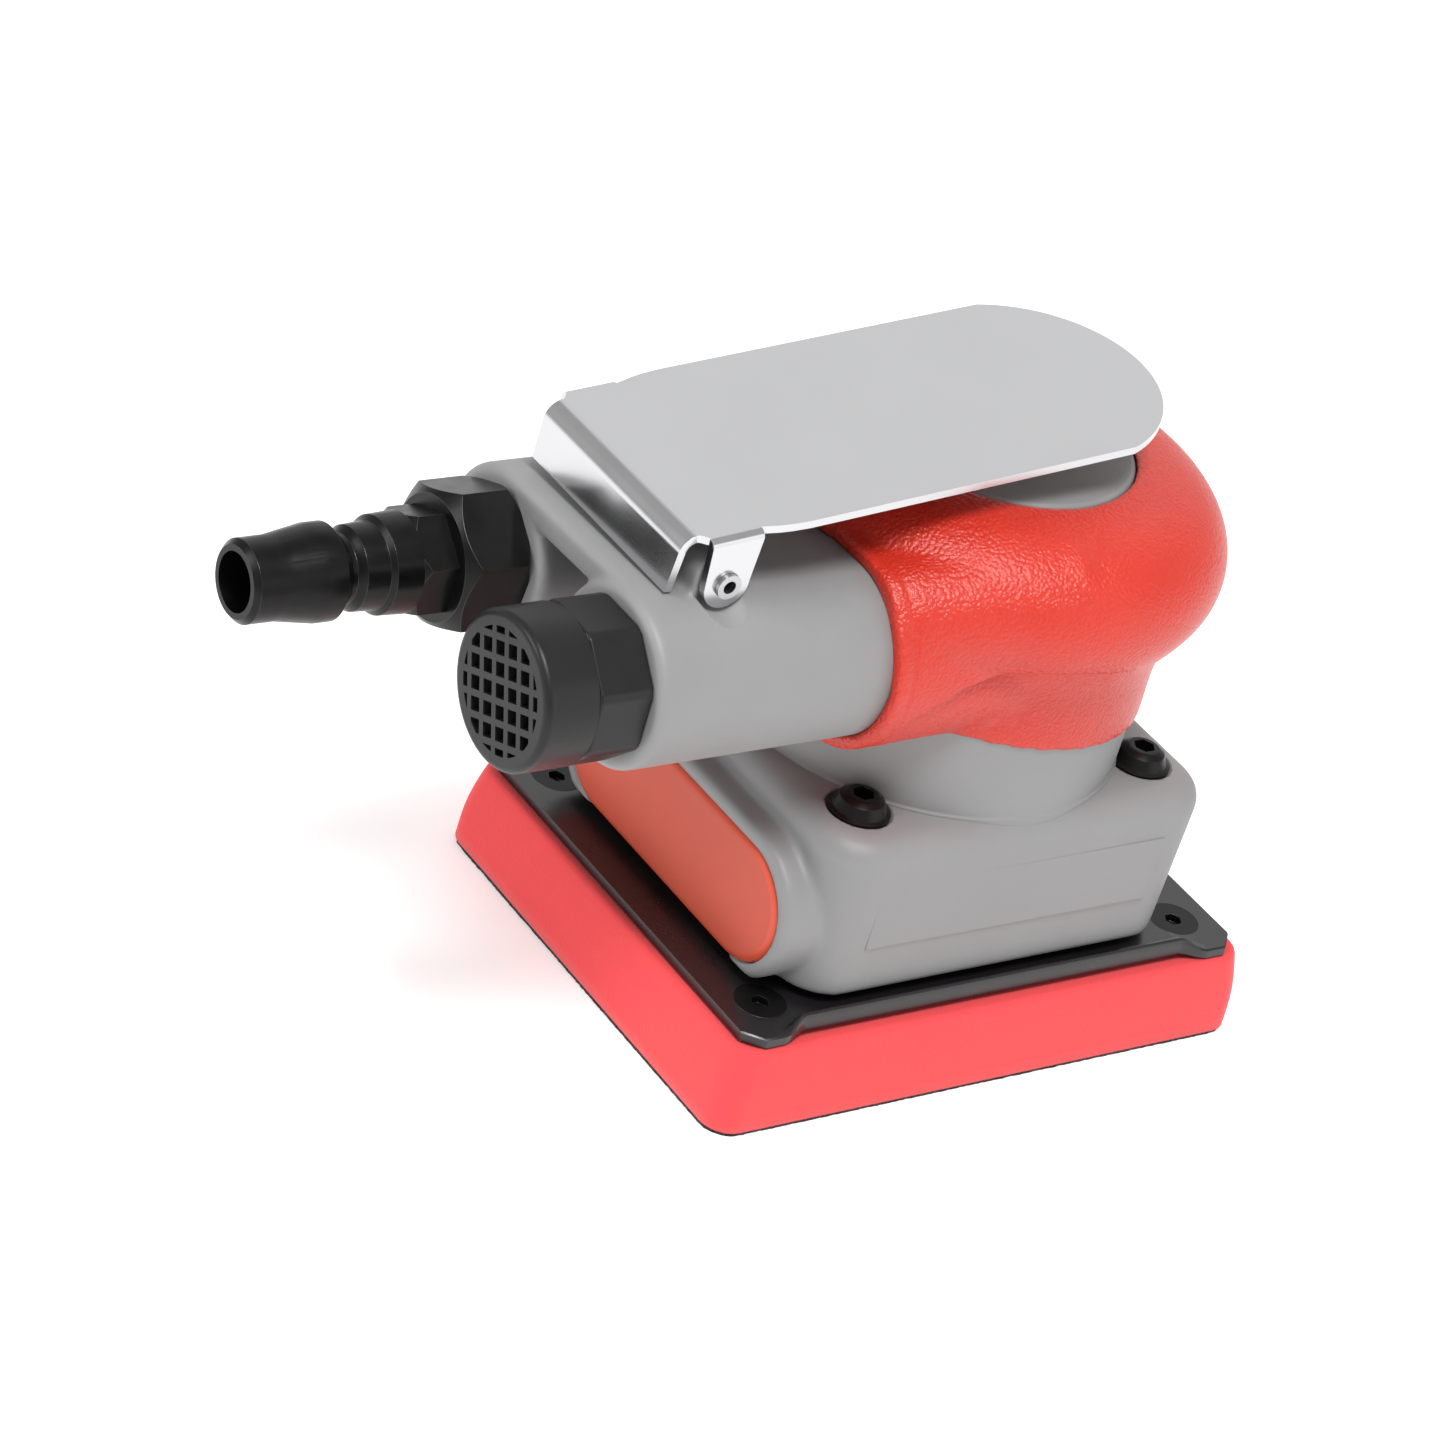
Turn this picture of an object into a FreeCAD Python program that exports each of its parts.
import FreeCAD, Part
import math
import os

# Pneumatic orbital palm sander, in millimetres.
# The origin is the centre of the sanding face. +Z is up, -X runs along the handle to the air plug.

V = FreeCAD.Vector
UP = V(0, 0, 1)
ALONG = V(1, 0, 0)
ACROSS = V(0, 1, 0)

# Pad
pad_length, pad_width, pad_corner = 100.0, 78.4, 4.5
hook_thick = 1.5
foam_thick = 12.8
foam_draft = 1.2
plate_length, plate_width, plate_thick = 93.2, 70.8, 1.6
plate_chamfer = 5.0
rib_half_length, rib_width, rib_rise = 35.5, 4.6, 1.0
plate_screw_x, plate_screw_y = 39.6, 28.6
pad_top = hook_thick + foam_thick
plate_top = pad_top + plate_thick

# Base block, neck and head
block_length, block_width, block_corner = 71.2, 65.8, 8.0
block_gap = 1.35
block_bottom = plate_top + block_gap
block_top = 44.0
post_x, post_y, post_radius = 26.6, 22.7, 5.6
neck_radius = 31.3
head_top = 91.2
cap_radius = 20.4
motor_bore = 20.6

# Twin-barrel handle
exhaust_y, exhaust_z, exhaust_radius = -16.5, 69.9, 13.2
inlet_y, inlet_z, inlet_radius = 15.9, 69.4, 12.4
handle_end = -74.3
inlet_end = -73.2
grip_edge = -35.0
grip_thick = 2.1

# Throttle lever, laid out from its pin
lever_pin_x, lever_pin_z, lever_pin_radius = -60.8, 85.3, 1.9
lever_tilt = 5.9
lever_half_width, lever_sheet, lever_height = 20.0, 1.2, 7.7
lever_tip_radius, lever_tip_centre = 20.9, 62.6

# Air motor and crank
orbit = 1.2
rotor_radius, cylinder_bore, cylinder_offset = 14.6, 16.0, 1.2
valve_x, valve_y = -42.0, 14.0

os.makedirs("parts", exist_ok=True)


def save(name, shape):
    shape.exportStep("parts/" + name + ".step")


def disc(radius, low, high, x=0.0, y=0.0):
    return Part.makeCylinder(radius, high - low, V(x, y, low))


def ring(outer, inner, low, high, x=0.0, y=0.0):
    return disc(outer, low, high, x, y).cut(disc(inner, low - 1, high + 1, x, y))


def rod(radius, start, end, y, z):
    return Part.makeCylinder(radius, end - start, V(start, y, z), ALONG)


def cross_rod(radius, start, end, x, z):
    return Part.makeCylinder(radius, end - start, V(x, start, z), ACROSS)


def box(low, high):
    size = V(*high) - V(*low)
    return Part.makeBox(size.x, size.y, size.z, V(*low))


def turned(profile, x=0.0, y=0.0):
    """Turn (radius, height) points about an upright axis."""
    outline = Part.makePolygon([V(x + radius, y, height) for radius, height in profile + profile[:1]])
    return Part.Face(outline).revolve(V(x, y, 0), UP, 360)


def turned_along(profile, y, z):
    """Turn (station, radius) points about an axis along X."""
    outline = Part.makePolygon([V(station, y, z + radius) for station, radius in profile + profile[:1]])
    return Part.Face(outline).revolve(V(0, y, z), ALONG, 360)


def extruded(points, vector):
    return Part.Face(Part.makePolygon(points + points[:1])).extrude(vector)


def rounded_outline(length, width, corner, z):
    """Rounded rectangle round the Z axis."""
    bar_x, bar_y = length / 2 - corner, width / 2 - corner
    centres = [(bar_x, bar_y), (-bar_x, bar_y), (-bar_x, -bar_y), (bar_x, -bar_y)]
    arcs = []
    for turn, (x, y) in enumerate(centres):
        circle = Part.Circle(V(x, y, z), UP, corner)
        arcs.append(Part.Arc(circle, math.radians(90 * turn), math.radians(90 * turn + 90)).toShape())
    edges = []
    for arc, following in zip(arcs, arcs[1:] + arcs[:1]):
        edges += [arc, Part.makeLine(arc.lastVertex().Point, following.firstVertex().Point)]
    return Part.Wire(edges)


def tapered_block(low, high, low_size, high_size, corner):
    return Part.makeLoft([rounded_outline(*low_size, corner, low),
                          rounded_outline(*high_size, corner, high)], True, True)


def straight_block(low, high, size, corner):
    return tapered_block(low, high, size, size, corner)


def hexagon(across_flats, start, end, y, z):
    """Hexagonal bar along X, stopped at a chance angle as a tightened fitting is."""
    reach = across_flats / math.sqrt(3)
    turn = math.radians(38)
    points = [V(start, y + reach * math.cos(turn + math.radians(60 * n)),
                z + reach * math.sin(turn + math.radians(60 * n))) for n in range(6)]
    return extruded(points, V(end - start, 0, 0))


def upright_hexagon(across_flats, low, high, x, y):
    reach = across_flats / math.sqrt(3)
    points = [V(x + reach * math.cos(math.radians(60 * n)),
                y + reach * math.sin(math.radians(60 * n)), low) for n in range(6)]
    return extruded(points, V(0, 0, high - low))


def four_corners(x, y):
    return [(sx * x, sy * y) for sx in (1, -1) for sy in (1, -1)]


def group(solids):
    return Part.makeCompound(solids)


# ---------------------------------------------------------------- pad
def hook_layer():
    return straight_block(0, hook_thick, (pad_length, pad_width), pad_corner)


def board():
    return straight_block(pad_top - 1.2, pad_top, (88.0, 66.0), 5.0)


def foam_pad():
    top_size = (pad_length - 2 * foam_draft, pad_width - 2 * foam_draft)
    foam = tapered_block(hook_thick, pad_top, (pad_length, pad_width), top_size, pad_corner)
    return foam.cut(board())


def pad_backer():
    backer = board()
    for x, y in four_corners(plate_screw_x, plate_screw_y):
        backer = backer.cut(disc(1.65, pad_top - 2, pad_top + 1, x, y))
    for x, y in four_corners(post_x, post_y):
        backer = backer.cut(disc(4.25, pad_top - 2, pad_top + 1, x, y))
    return backer


def plate_screw(x, y):
    """Countersunk socket screw, flush with the plate's corner land."""
    shank = turned([(0, pad_top - 1.2), (1.6, pad_top - 1.2), (1.6, pad_top + 0.2), (2.0, pad_top + 0.2),
                    (4.0, plate_top - 0.12), (4.0, plate_top), (0, plate_top)], x, y)
    return shank.cut(upright_hexagon(2.5, plate_top - 1.3, plate_top + 1, x, y))


def plate_outline():
    half_x, half_y, cut = plate_length / 2, plate_width / 2, plate_chamfer
    points = []
    for sx, sy in ((1, 1), (-1, 1), (-1, -1), (1, -1)):
        corner = [V(sx * half_x, sy * (half_y - cut), pad_top), V(sx * (half_x - cut), sy * half_y, pad_top)]
        points += corner if sx == sy else corner[::-1]
    return points


def plate_rib(side):
    """Raised edge of the plate, turned down on the outside and run out at both ends."""
    outer = side * plate_width / 2
    inner = outer - side * rib_width
    high = plate_top + rib_rise
    section = [V(-rib_half_length, inner, plate_top - 0.4), V(-rib_half_length, inner + side * 1.0, high),
               V(-rib_half_length, outer - side * 1.0, high), V(-rib_half_length, outer, high - 1.0),
               V(-rib_half_length, outer, plate_top - 0.4)]
    rib = extruded(section, V(2 * rib_half_length, 0, 0))
    for end in (-1, 1):
        tip = end * rib_half_length
        wedge = [V(tip - end * 4.0, inner - side * 2, high + 0.1), V(tip + end, inner - side * 2, high + 0.1),
                 V(tip + end, inner - side * 2, plate_top - 0.6)]
        rib = rib.cut(extruded(wedge, V(0, side * (rib_width + 4), 0)))
    return rib


def hub_rivet_places():
    return [(orbit + 18.3 * math.cos(math.radians(45 + 90 * n)), 18.3 * math.sin(math.radians(45 + 90 * n)))
            for n in range(4)]


def pad_plate():
    plate = extruded(plate_outline(), V(0, 0, plate_thick))
    plate = plate.fuse([plate_rib(1), plate_rib(-1)]).removeSplitter()
    plate = plate.cut(disc(6.5, pad_top - 1, plate_top + 1, orbit))
    for x, y in four_corners(plate_screw_x, plate_screw_y):
        plate = plate.cut(turned([(0, pad_top - 1), (2.05, pad_top - 1), (2.05, pad_top + 0.2),
                                  (4.05, plate_top - 0.2), (4.05, plate_top + 1), (0, plate_top + 1)], x, y))
    for x, y in four_corners(post_x, post_y):
        plate = plate.cut(disc(2.2, pad_top - 1, plate_top + 1, x, y))
    for x, y in hub_rivet_places():
        plate = plate.cut(disc(1.55, pad_top - 1, plate_top + 1, x, y))
    return plate


def post_screw(x, y):
    """Low-head screw that comes up through the plate into the rubber post's lower insert."""
    return disc(4.2, pad_top - 1.2, pad_top, x, y).fuse(disc(2.1, pad_top, plate_top, x, y))


# ---------------------------------------------------------------- crank and pad hub
crank_floor, crank_ceiling = 22.0, 34.0
web_floor, web_ceiling = 36.0, 44.5
lower_bearing_floor, lower_bearing_ceiling = 46.5, 54.5
rotor_floor, rotor_ceiling = 58.0, 81.0
upper_bearing_floor, upper_bearing_ceiling = 82.0, 88.0


def pad_hub():
    """Steel cup that carries the crank bearing and is riveted to the plate."""
    cup = turned([(6.5, plate_top), (20.6, plate_top), (20.6, plate_top + 2.2), (16.2, plate_top + 2.2),
                  (15.4, plate_top + 3.0), (15.4, crank_ceiling + 1.6), (12.0, crank_ceiling + 1.6),
                  (12.0, crank_floor), (10.2, crank_floor), (10.2, plate_top + 2.0), (6.5, plate_top + 2.0)],
                 orbit)
    cup = cup.cut(ring(12.9, 11.0, crank_ceiling + 0.1, crank_ceiling + 1.2, orbit))
    for x, y in hub_rivet_places():
        cup = cup.cut(disc(1.55, plate_top - 1, plate_top + 3, x, y))
    return cup


def hub_rivet(x, y):
    shank = disc(1.5, pad_top, plate_top + 2.2, x, y)
    return shank.fuse(disc(2.0, plate_top + 2.2, plate_top + 3.2, x, y))


def bearing_clip():
    clip = ring(12.8, 10.9, crank_ceiling + 0.15, crank_ceiling + 1.15, orbit)
    return clip.cut(box((orbit + 8, -2.5, crank_ceiling), (orbit + 16, 2.5, crank_ceiling + 2)))


def bearing(name, outer, inner, low, high, balls, x=0.0):
    """Deep-groove ball bearing: two rings with a ball track and a set of loose balls."""
    middle, pitch = (low + high) / 2, (outer + inner) / 2
    ball = (outer - inner) * 0.24
    track = Part.makeTorus(pitch, ball + 0.12, V(x, 0, middle))
    step = (outer - inner) * 0.31
    save(name + "_outer", ring(outer, outer - step, low, high, x).cut(track))
    save(name + "_inner", ring(inner + step, inner, low, high, x).cut(track))
    places = [2 * math.pi * n / balls for n in range(balls)]
    save(name + "_balls", group([Part.makeSphere(ball, V(x + pitch * math.cos(a), pitch * math.sin(a), middle))
                                 for a in places]))


def crankshaft():
    """Motor shaft, counterweight web and eccentric pin in one forging."""
    shaft = disc(3.0, rotor_ceiling - 0.5, upper_bearing_ceiling + 0.5)
    shaft = shaft.fuse([disc(4.5, lower_bearing_ceiling, rotor_ceiling - 0.1),
                        disc(5.0, web_ceiling, lower_bearing_ceiling),
                        disc(7.0, web_ceiling - 0.5, lower_bearing_floor)])
    weight = disc(24.0, web_floor, web_ceiling)
    weight = weight.cut(box((2.0, -30, web_floor - 1), (30, 30, web_ceiling + 1)))
    web = weight.fuse([disc(9.0, web_floor, web_ceiling, orbit), disc(6.5, crank_ceiling, web_floor, orbit),
                       disc(5.0, crank_floor + 0.5, crank_ceiling, orbit)])
    shaft = shaft.fuse(web).removeSplitter()
    shaft = shaft.cut(disc(2.1, crank_floor - 1, crank_floor + 9, orbit))
    return shaft.cut(box((3.4, -1.0, 66.0), (6.0, 1.0, 73.0)))


def pad_washer():
    return ring(7.4, 2.3, crank_floor - 1.2, crank_floor - 0.05, orbit)


def pad_bolt():
    bolt = disc(2.0, crank_floor - 1.2, crank_floor + 8, orbit)
    bolt = bolt.fuse(disc(4.2, crank_floor - 3.6, crank_floor - 1.2, orbit))
    return bolt.cut(upright_hexagon(2.5, crank_floor - 4, crank_floor - 2.2, orbit, 0))


# ---------------------------------------------------------------- air motor
vane_count = 5
vane_thick = 1.5


def vane_angles():
    return [90 + 360 * n / vane_count for n in range(vane_count)]


def rotor():
    """Steel rotor with a blind slot for each vane and a keyway."""
    body = ring(rotor_radius, 4.52, rotor_floor + 0.1, rotor_ceiling - 0.1)
    for angle in vane_angles():
        slot = box((7.6, -vane_thick / 2 - 0.04, rotor_floor - 1), (20, vane_thick / 2 + 0.04, rotor_ceiling + 1))
        slot.rotate(V(0, 0, 0), UP, angle)
        body = body.cut(slot)
    return body.cut(box((3.4, -1.0, 66.0), (5.6, 1.0, 73.0)))


def rotor_key():
    return box((3.45, -0.95, 66.05), (5.55, 0.95, 72.95))


def vane_reach(angle):
    """Distance from the shaft to the cylinder wall, less the running gap."""
    offset = cylinder_offset * math.cos(math.radians(angle - 90))
    return offset + math.sqrt(cylinder_bore ** 2 - cylinder_offset ** 2 + offset ** 2) - 0.15


def rotor_vanes():
    """Phenolic vanes, drawn back far enough for the whole turn."""
    shortest = min(vane_reach(angle) for angle in range(360))
    vanes = []
    for angle in vane_angles():
        vane = box((shortest - 6.2, -vane_thick / 2, rotor_floor + 0.2),
                   (shortest - 0.1, vane_thick / 2, rotor_ceiling - 0.2))
        vane.rotate(V(0, 0, 0), UP, angle)
        vanes.append(vane)
    return group(vanes)


def motor_cylinder():
    """Liner whose bore is offset from the shaft, with inlet and exhaust slots towards the handle."""
    liner = disc(motor_bore - 0.1, rotor_floor, rotor_ceiling)
    liner = liner.cut(disc(cylinder_bore, rotor_floor - 1, rotor_ceiling + 1, 0, cylinder_offset))
    inlet = box((-25, 8, inlet_z - 4), (-8, 11, inlet_z + 4))
    exhaust = box((-25, -12, exhaust_z - 6), (-8, -7, exhaust_z + 6))
    return liner.cut(inlet).cut(exhaust)


def upper_end_plate():
    return turned([(3.6, 81.0), (motor_bore - 0.1, 81.0), (motor_bore - 0.1, 84.0), (12.2, 84.0),
                   (12.2, 88.0), (9.5, 88.0), (9.5, 82.0), (3.6, 82.0)])


def lower_end_plate():
    return turned([(5.4, 55.0), (13.0, 55.0), (13.0, 46.5), (15.2, 46.5), (15.2, 55.0),
                   (motor_bore - 0.1, 55.0), (motor_bore - 0.1, 58.0), (5.4, 58.0)])


def top_cap():
    """Screwed cap over the motor, dished slightly on top, with a wrench recess hidden underneath."""
    rim_low = 88.6
    cap = turned([(0, rim_low), (cap_radius, rim_low), (cap_radius, head_top - 0.6),
                  (cap_radius - 0.6, head_top), (0, head_top - 0.5)])
    skirt = ring(cap_radius, 17.4, 84.0, rim_low)
    return cap.fuse(skirt).removeSplitter()


# ---------------------------------------------------------------- housing
def head_profile(offset):
    """Smooth half outline of the head, from skirt to crown, drawn in by an offset."""
    points = [(31.6, 50.0), (32.1, 56.0), (32.0, 62.0), (33.0, 67.5), (35.3, 71.5), (37.4, 76.5),
              (37.0, 82.0), (33.4, 87.0), (27.0, 90.1), (cap_radius, head_top)]
    return [V(radius - offset, 0, height - offset * 0.35) for radius, height in points]


def head_solid(offset, low):
    """Solid head under the given offset, closed down to a height."""
    points = head_profile(offset)
    curve = Part.BSplineCurve()
    curve.interpolate(points)
    first, last = points[0], points[-1]
    edges = [curve.toShape(), Part.makeLine(last, V(0, 0, last.z)), Part.makeLine(V(0, 0, last.z), V(0, 0, low)),
             Part.makeLine(V(0, 0, low), V(first.x, 0, low)), Part.makeLine(V(first.x, 0, low), first)]
    return Part.Face(Part.Wire(edges)).revolve(V(0, 0, 0), UP, 360)


def handle_slice(extra, start, depth, drop):
    """Slab from barrel to barrel along their common tangent plane."""
    span_y, span_z = inlet_y - exhaust_y, inlet_z - exhaust_z
    lean = math.asin((exhaust_radius - inlet_radius) / math.hypot(span_y, span_z)) - math.atan2(span_z, span_y)
    up = V(0, math.sin(lean), math.cos(lean))
    exhaust_top = V(start, exhaust_y, exhaust_z) + up * (exhaust_radius + extra - drop)
    inlet_top = V(start, inlet_y, inlet_z) + up * (inlet_radius + extra - drop)
    section = [exhaust_top, inlet_top, inlet_top - up * depth, exhaust_top - up * depth]
    return extruded(section, V(-start, 0, 0))


def handle_solid(extra, start):
    """Two barrels joined by a flat top and a set-back web, swollen by an extra thickness."""
    exhaust_barrel = rod(exhaust_radius + extra, start, 0, exhaust_y, exhaust_z)
    inlet_barrel = rod(inlet_radius + extra, max(start, inlet_end), 0, inlet_y, inlet_z)
    web_start = max(start, handle_end + 16)
    flat_top = handle_slice(extra, max(start, inlet_end), 4.4, 0.0)
    web = handle_slice(extra, web_start, 20.0, 1.0)
    return exhaust_barrel.fuse([inlet_barrel, flat_top, web]).removeSplitter()


def base_block():
    """Drafted block with soft top edges."""
    block = tapered_block(block_bottom, block_top, (block_length - 1.0, block_width - 1.0),
                          (block_length, block_width), block_corner)
    top_edges = [edge for edge in block.Edges if abs(edge.BoundBox.ZMin - block_top) < 1e-6]
    return block.makeFillet(3.0, top_edges)


def stadium(start, end, half_length, half_height, z):
    """Oblong prism along X, with round ends."""
    straight = half_length - half_height
    middle = box((start, -straight, z - half_height), (end, straight, z + half_height))
    ends = [rod(half_height, start, end, side * straight, z) for side in (1, -1)]
    return middle.fuse(ends).removeSplitter()


cover_half_length, cover_half_height = 27.8, 9.6
cover_centre = block_bottom + 0.1 + cover_half_height
cover_face = -40.3


def side_rim():
    """Raised rim that frames the side cover, with a small notch on its top."""
    rim = stadium(cover_face + 0.3, -30, cover_half_length + 2.3, cover_half_height + 2.2, cover_centre)
    rim = rim.common(box((-50, -40, block_bottom), (0, 40, 60)))
    notch_top = cover_centre + cover_half_height + 3
    return rim.cut(box((-39.2, 1.5, notch_top - 2.0), (-36.4, 8.0, notch_top)))


def pin_lug():
    """Bridge on the handle that carries the lever pin, with a relief for each ear."""
    lug = box((lever_pin_x - 4.2, -18.3, 78), (lever_pin_x + 4.2, 18.3, lever_pin_z))
    return lug.fuse(cross_rod(4.2, -18.3, 18.3, lever_pin_x, lever_pin_z))


def ear_relief(side):
    """Round spot face in the barrel's shoulder that the ear swings in."""
    low, high = sorted((side * 18.3, side * 31))
    return cross_rod(4.5, low, high, lever_pin_x, lever_pin_z)


def housing_skin():
    """Everything of the housing as one solid lump, before it is hollowed."""
    foot = turned([(0, block_top - 2), (neck_radius + 0.8, block_top - 2), (neck_radius + 0.8, block_top + 0.3),
                   (neck_radius - 0.2, block_top + 1.3), (0, block_top + 1.3)])
    neck = disc(neck_radius, block_top - 4, 62).fuse(foot)
    return base_block().fuse([side_rim(), neck, head_solid(grip_thick, 50.0), handle_solid(0, handle_end),
                              pin_lug()])


def housing():
    body = housing_skin()
    cuts = [ear_relief(1), ear_relief(-1)]
    cuts.append(straight_block(block_bottom - 1, 40.5, (block_length - 6.4, block_width - 7), block_corner - 2))
    cuts.append(disc(26.5, 40, web_ceiling + 1.0))
    cuts.append(disc(15.3, web_ceiling, 55.1))
    cuts.append(disc(motor_bore, 55.0, head_top + 5))
    cuts.append(rod(6.6, handle_end - 1, -19, inlet_y, inlet_z))
    cuts.append(rod(8.6, handle_end - 1, handle_end + 12, inlet_y, inlet_z))
    cuts.append(rod(8.0, handle_end - 1, -19, exhaust_y, exhaust_z))
    cuts.append(rod(9.6, handle_end - 1, handle_end + 12, exhaust_y, exhaust_z))
    cuts.append(disc(4.6, 59.4, 95, valve_x, valve_y))
    cuts.append(cross_rod(lever_pin_radius + 0.02, -40, 40, lever_pin_x, lever_pin_z))
    cuts.append(stadium(cover_face - 1, -34.2, cover_half_length + 0.1, cover_half_height + 0.1, cover_centre))
    for x, y in four_corners(post_x, post_y):
        cuts += [disc(2.6, 39, 46, x, y), disc(5.3, block_top - 0.6, block_top + 2, x, y)]
    for tool in cuts:
        body = body.cut(tool)
    return body.fuse(label_pad())


def label_pad():
    """Thin raised panel on the block's long side, proud at its foot and flush at its top."""
    face = -block_width / 2
    section = [V(-26.5, face + 2.0, 25.6), V(-26.5, face - 0.15, 25.6), V(-26.5, face + 0.05, 37.0),
               V(-26.5, face + 2.0, 37.0)]
    return extruded(section, V(53.0, 0, 0))


def shoulder(side):
    """Tapered swelling that carries a barrel's cover up into the head."""
    low, high = V(-33, side * 19.5, 75.3), V(-4, side * 25.5, 79.4)
    rise = high - low
    return Part.makeCone(9.6, 11.2, rise.Length, low, rise)


def soft_grip():
    """Rubber overmould: a shell over the head and the end of the handle."""
    saddle = handle_solid(grip_thick, grip_edge)
    below = extruded([V(-45, -45, 61.5), V(-20, -45, 58.6), V(45, -45, 50.5), V(45, -45, 40), V(-45, -45, 40)],
                     V(0, 90, 0))
    shell = head_solid(0, 51.0).cut(below).fuse([saddle, shoulder(1), shoulder(-1)]).cut(housing_skin())
    shell = shell.cut(disc(cap_radius + 0.05, 80, 100))
    shell = shell.cut(disc(neck_radius, 40, 80))
    return max(shell.Solids, key=lambda solid: solid.Volume)


def side_cover():
    """Blanking cover with a softened face."""
    cover = stadium(cover_face, -34.3, cover_half_length, cover_half_height, cover_centre)
    rim = [edge for edge in cover.Edges if abs(edge.BoundBox.XMax - cover_face) < 1e-6]
    return cover.makeFillet(1.4, rim)


def block_screw(x, y):
    """Flanged button-head screw into the rubber post's upper insert."""
    seat = block_top - 0.6
    screw = turned([(0, 34), (2.5, 34), (2.5, seat), (4.75, seat), (4.75, seat + 0.8), (4.1, seat + 1.0),
                    (3.4, seat + 2.6), (2.2, seat + 3.3), (0, seat + 3.3)], x, y)
    return screw.cut(upright_hexagon(3.0, seat + 1.2, seat + 5, x, y))


def flex_post(x, y):
    """Waisted rubber post that hangs from the block and stands just clear of the plate."""
    low, high = plate_top + 0.3, 40.5
    post = turned([(0, low), (post_radius, low), (post_radius, low + 3), (post_radius - 1.4, low + 7),
                   (post_radius - 1.4, high - 7), (post_radius, high - 3), (post_radius, high), (0, high)], x, y)
    return post.cut(disc(2.5, 34, high + 1, x, y))


# ---------------------------------------------------------------- inlet, valve and exhaust
def inlet_bushing():
    """Black hexagon bushing, chamfered round at both ends, screwed into the rear barrel."""
    front = -83.5
    bar = hexagon(19.6, front, inlet_end, inlet_y, inlet_z)
    envelope = turned_along([(front, 0), (front, 9.2), (front + 1.8, 11.4), (inlet_end - 1.3, 11.4),
                             (inlet_end, 10.0), (inlet_end, 0)], inlet_y, inlet_z)
    bar = bar.common(envelope).fuse(rod(8.5, inlet_end, inlet_end + 8, inlet_y, inlet_z))
    bar = bar.cut(rod(5.6, front - 1, front + 8, inlet_y, inlet_z))
    return bar.cut(rod(4.2, front, inlet_end + 9, inlet_y, inlet_z)).removeSplitter()


def quick_plug():
    """Hose nipple: bored nose, bulge, groove, collar and hexagon, with its thread in the bushing."""
    nose = -114.8
    body = turned_along([(nose, 0), (nose, 5.2), (nose + 0.8, 6.0), (-109.6, 6.0), (-103.4, 7.0), (-100.8, 7.0),
                         (-98.9, 5.1), (-98.2, 5.1), (-97.2, 6.1), (-93.6, 6.3), (-93.0, 7.1), (-88.8, 7.3),
                         (-88.8, 0)], inlet_y, inlet_z)
    nut = hexagon(14.0, -88.8, -83.5, inlet_y, inlet_z)
    nut = nut.common(turned_along([(-88.8, 0), (-88.8, 7.3), (-87.8, 8.2), (-83.5, 8.2), (-83.5, 0)],
                                  inlet_y, inlet_z))
    plug = body.fuse([nut, rod(5.5, -83.5, -76.0, inlet_y, inlet_z)])
    plug = plug.cut(rod(4.3, nose - 1, -99, inlet_y, inlet_z))
    return plug.cut(rod(3.4, -100, -75, inlet_y, inlet_z)).removeSplitter()


def inlet_seal():
    return Part.makeTorus(7.3, 0.95, V(inlet_end + 9.2, inlet_y, inlet_z), ALONG)


def inlet_strainer():
    cone = turned_along([(-65.2, 6.3), (-65.2, 5.5), (-55.8, 3.0), (-55.8, 0), (-55.0, 0), (-55.0, 3.6)],
                        inlet_y, inlet_z)
    return cone


def valve_guide():
    """Brass guide for the throttle stem, pressed into the handle's top."""
    return ring(4.55, 2.56, 75.5, 84.2, valve_x, valve_y)


def valve_seat():
    return ring(4.55, 2.9, 68.0, 70.6, valve_x, valve_y)


def valve_stem():
    """Throttle stem with a domed top under the lever and a poppet below the seat."""
    return turned([(0, 64.6), (3.9, 64.6), (3.9, 66.2), (1.8, 66.2), (1.8, 74.0), (2.5, 74.6),
                   (2.5, 91.8), (1.6, 93.0), (0, 93.4)], valve_x, valve_y)


def valve_seal():
    """Rubber washer on the poppet, closing against the seat."""
    return ring(3.7, 1.8, 66.2, 67.95, valve_x, valve_y)


def valve_spring():
    """Return spring below the poppet: round wire in mitred short runs along a helix."""
    turns, rise, radius, runs = 3.5, 4.1, 2.9, 56
    points = []
    for n in range(runs + 1):
        angle = 2 * math.pi * turns * n / runs
        points.append(V(radius * math.cos(angle), radius * math.sin(angle), rise * n / runs))
    section = Part.Wire(Part.makeCircle(0.35, points[0], points[1] - points[0]))
    mitred = 1
    coil = Part.makePolygon(points).makePipeShell([section], True, False, mitred)
    coil.translate(V(valve_x, valve_y, 59.8))
    return coil


def muffler_body():
    """Exhaust muffler shell with flats, screwed into the front barrel."""
    sides = 8
    reach = 11.9
    points = [V(-83.0, exhaust_y + reach * math.cos(math.radians(22.5 + 45 * n)),
                exhaust_z + reach * math.sin(math.radians(22.5 + 45 * n))) for n in range(sides)]
    shell = extruded(points, V(83.0 + handle_end, 0, 0))
    shell = shell.common(rod(11.6, -83.0, handle_end, exhaust_y, exhaust_z))
    shell = shell.fuse(rod(9.5, handle_end, handle_end + 10, exhaust_y, exhaust_z))
    shell = shell.fuse(rod(10.0, -85.5, -83.0, exhaust_y, exhaust_z)).removeSplitter()
    return shell.cut(rod(7.6, -90, handle_end + 11, exhaust_y, exhaust_z))


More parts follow.
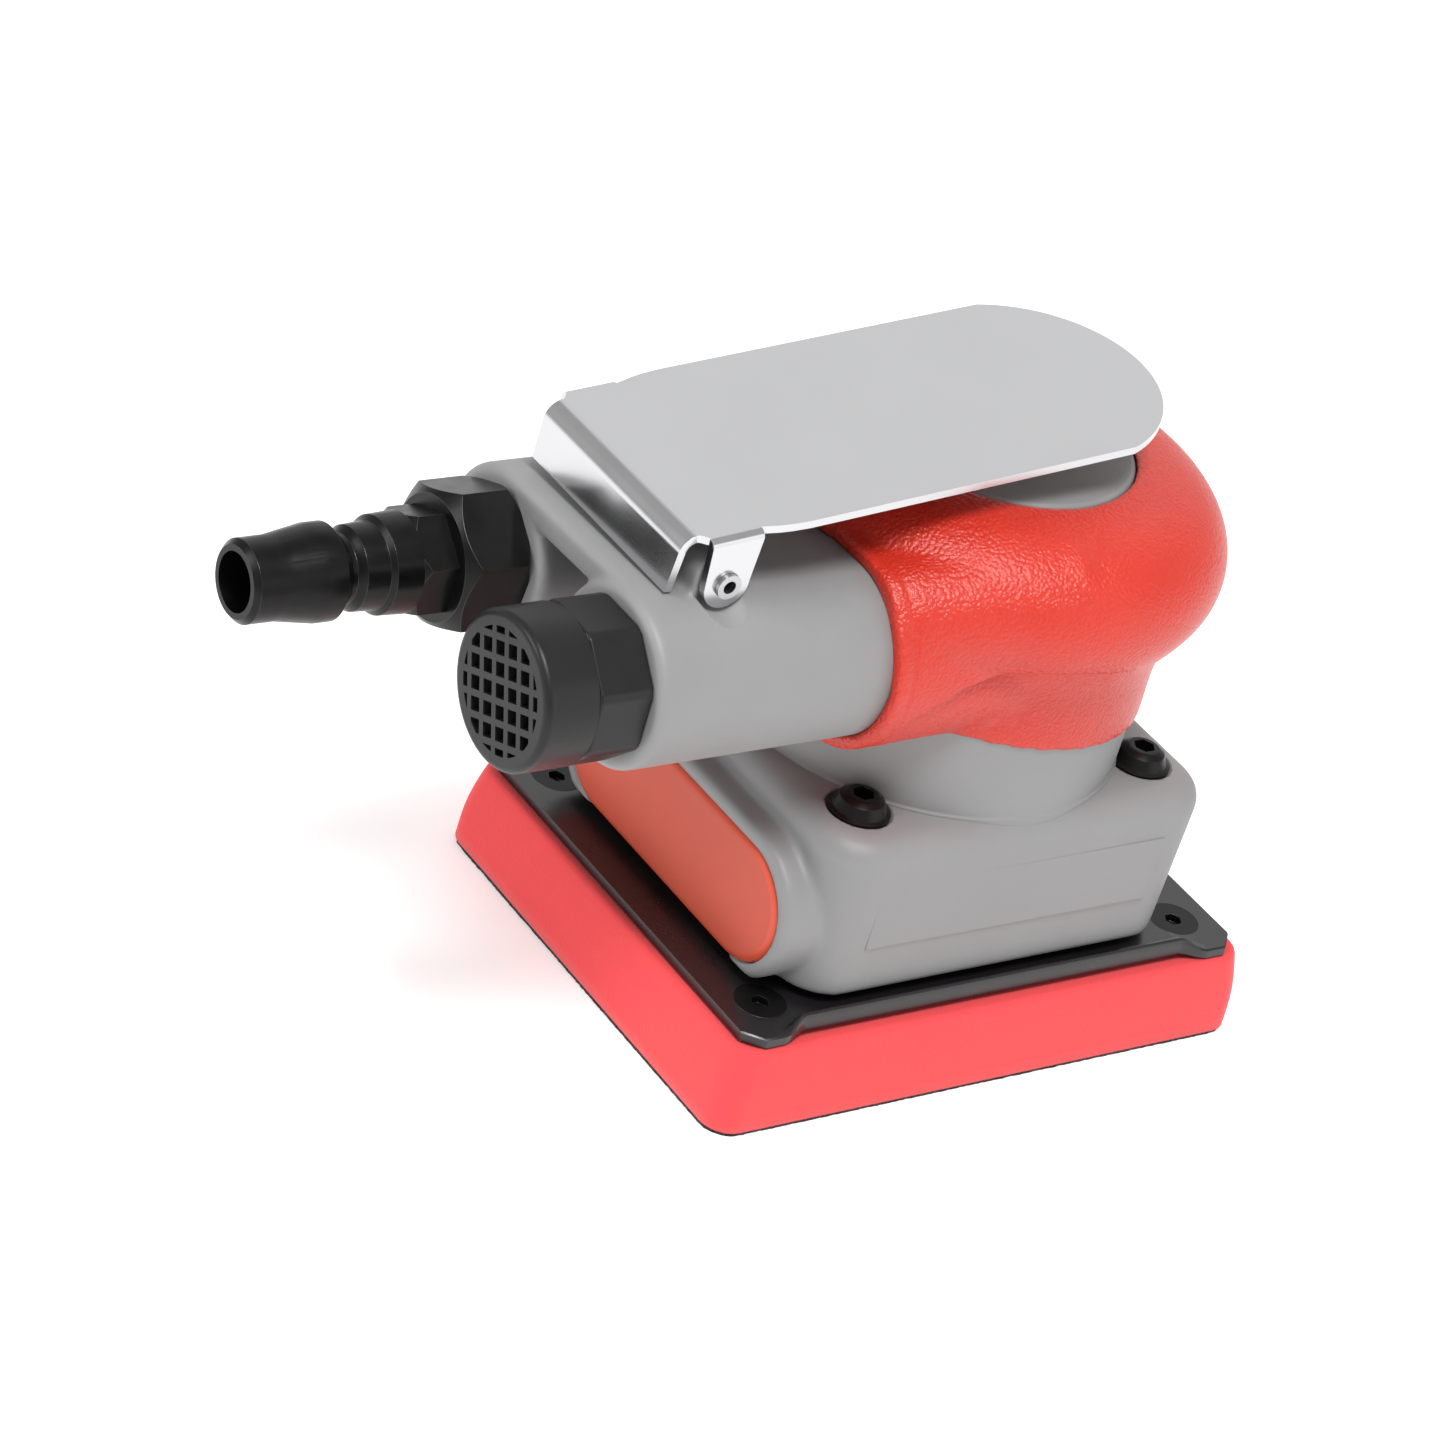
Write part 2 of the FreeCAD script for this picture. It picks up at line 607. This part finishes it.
def muffler_cap():
    """Round cap with a turned square mesh in its face."""
    pitch, hole, reach = 3.0, 2.0, 9.0
    cap = rod(11.35, -91.5, -83.0, exhaust_y, exhaust_z)
    rim = [edge for edge in cap.Edges if abs(edge.BoundBox.XMax + 91.5) < 1e-6]
    cap = cap.makeFillet(1.1, rim)
    cap = cap.cut(rod(10.05, -85.6, -82, exhaust_y, exhaust_z)).cut(rod(9.3, -90.0, -82, exhaust_y, exhaust_z))
    holes = []
    for row in range(-3, 4):
        for column in range(-3, 4):
            square = box((-93, column * pitch - hole / 2, row * pitch - hole / 2),
                         (-89, column * pitch + hole / 2, row * pitch + hole / 2))
            holes.append(square)
    mesh = holes[0].fuse(holes[1:])
    mesh.rotate(V(0, 0, 0), ALONG, -22)
    mesh.translate(V(0, exhaust_y, exhaust_z))
    return cap.cut(mesh.common(rod(reach, -94, -88, exhaust_y, exhaust_z)))


def muffler_felt():
    return rod(7.5, -89.0, -78.0, exhaust_y, exhaust_z)


# ---------------------------------------------------------------- lever
def lever_blank():
    """Lever in its own plane: u runs forward from the pin, w up, both in millimetres."""
    rear, top, width = -7.5, lever_height, lever_half_width
    low = top - lever_sheet
    ear_front, ear_rear = 4.9, -3.4
    tongue = box((-4.6, -width, low), (lever_tip_centre + 6.3, width, top))
    tip = disc(lever_tip_radius, low, top, lever_tip_centre)
    tip = tip.common(box((lever_tip_centre, -width, low), (lever_tip_centre + 30, width, top)))
    rear_sheet = box((rear, -17.8, low), (-4.6, 17.8, top))
    flange = extruded([V(rear, -17.8, top), V(rear - 1.5, -17.8, top - 9.0),
                       V(rear - 1.5 + lever_sheet, -17.8, top - 9.0), V(rear + lever_sheet, -17.8, top)],
                      V(0, 35.6, 0))
    parts = [tip, rear_sheet, flange]
    for side in (1, -1):
        inner, outer = sorted((side * (width - lever_sheet), side * width))
        plan = [V(ear_rear, inner, low), V(ear_front, inner, low), V(3.6, inner, -1.6), V(-3.4, inner, -1.6)]
        ear = extruded(plan, V(0, outer - inner, 0))
        parts += [ear, cross_rod(3.7, inner, outer, 0, 0)]
    sheet = tongue.fuse(parts).removeSplitter()
    for side in (1, -1):
        inner, outer = sorted((side * 17.8, side * 21))
        sheet = sheet.cut(box((rear - 1, inner, 0), (ear_rear - 0.6, outer, top + 1)))
    return sheet


def throttle_lever():
    lever = lever_blank()
    lever = lever.cut(cross_rod(lever_pin_radius + 0.05, -30, 30, 0, 0))
    lever.rotate(V(0, 0, 0), ACROSS, -lever_tilt)
    lever.translate(V(lever_pin_x, 0, lever_pin_z))
    return lever


def lever_pin():
    """Tubular pin through the lug and both ears."""
    pin = cross_rod(lever_pin_radius, -20.7, 20.7, lever_pin_x, lever_pin_z)
    return pin.cut(cross_rod(1.0, -21, 21, lever_pin_x, lever_pin_z))


pieces = {
    "hook_layer": hook_layer, "foam_pad": foam_pad, "pad_backer": pad_backer, "pad_plate": pad_plate,
    "pad_hub": pad_hub, "bearing_clip": bearing_clip, "crankshaft": crankshaft, "pad_washer": pad_washer,
    "pad_bolt": pad_bolt, "rotor": rotor, "rotor_key": rotor_key, "rotor_vanes": rotor_vanes,
    "motor_cylinder": motor_cylinder, "upper_end_plate": upper_end_plate, "lower_end_plate": lower_end_plate,
    "top_cap": top_cap, "housing": housing, "soft_grip": soft_grip, "side_cover": side_cover,
    "inlet_bushing": inlet_bushing, "quick_plug": quick_plug, "inlet_seal": inlet_seal,
    "inlet_strainer": inlet_strainer, "valve_guide": valve_guide, "valve_seat": valve_seat,
    "valve_stem": valve_stem, "valve_seal": valve_seal, "valve_spring": valve_spring,
    "muffler_body": muffler_body, "muffler_cap": muffler_cap, "muffler_felt": muffler_felt,
    "throttle_lever": throttle_lever, "lever_pin": lever_pin,
}
for name, make in pieces.items():
    save(name, make())

corner_groups = {
    "plate_screws": (plate_screw, plate_screw_x, plate_screw_y),
    "post_screws": (post_screw, post_x, post_y),
    "block_screws": (block_screw, post_x, post_y),
    "flex_posts": (flex_post, post_x, post_y),
}
for name, (make, x_reach, y_reach) in corner_groups.items():
    save(name, group([make(x, y) for x, y in four_corners(x_reach, y_reach)]))
save("hub_rivets", group([hub_rivet(x, y) for x, y in hub_rivet_places()]))

bearing("crank_bearing", 12.0, 5.0, crank_floor, crank_ceiling, 8, orbit)
bearing("lower_bearing", 13.0, 5.0, lower_bearing_floor, lower_bearing_ceiling, 8)
bearing("upper_bearing", 9.5, 3.0, upper_bearing_floor, upper_bearing_ceiling, 7)
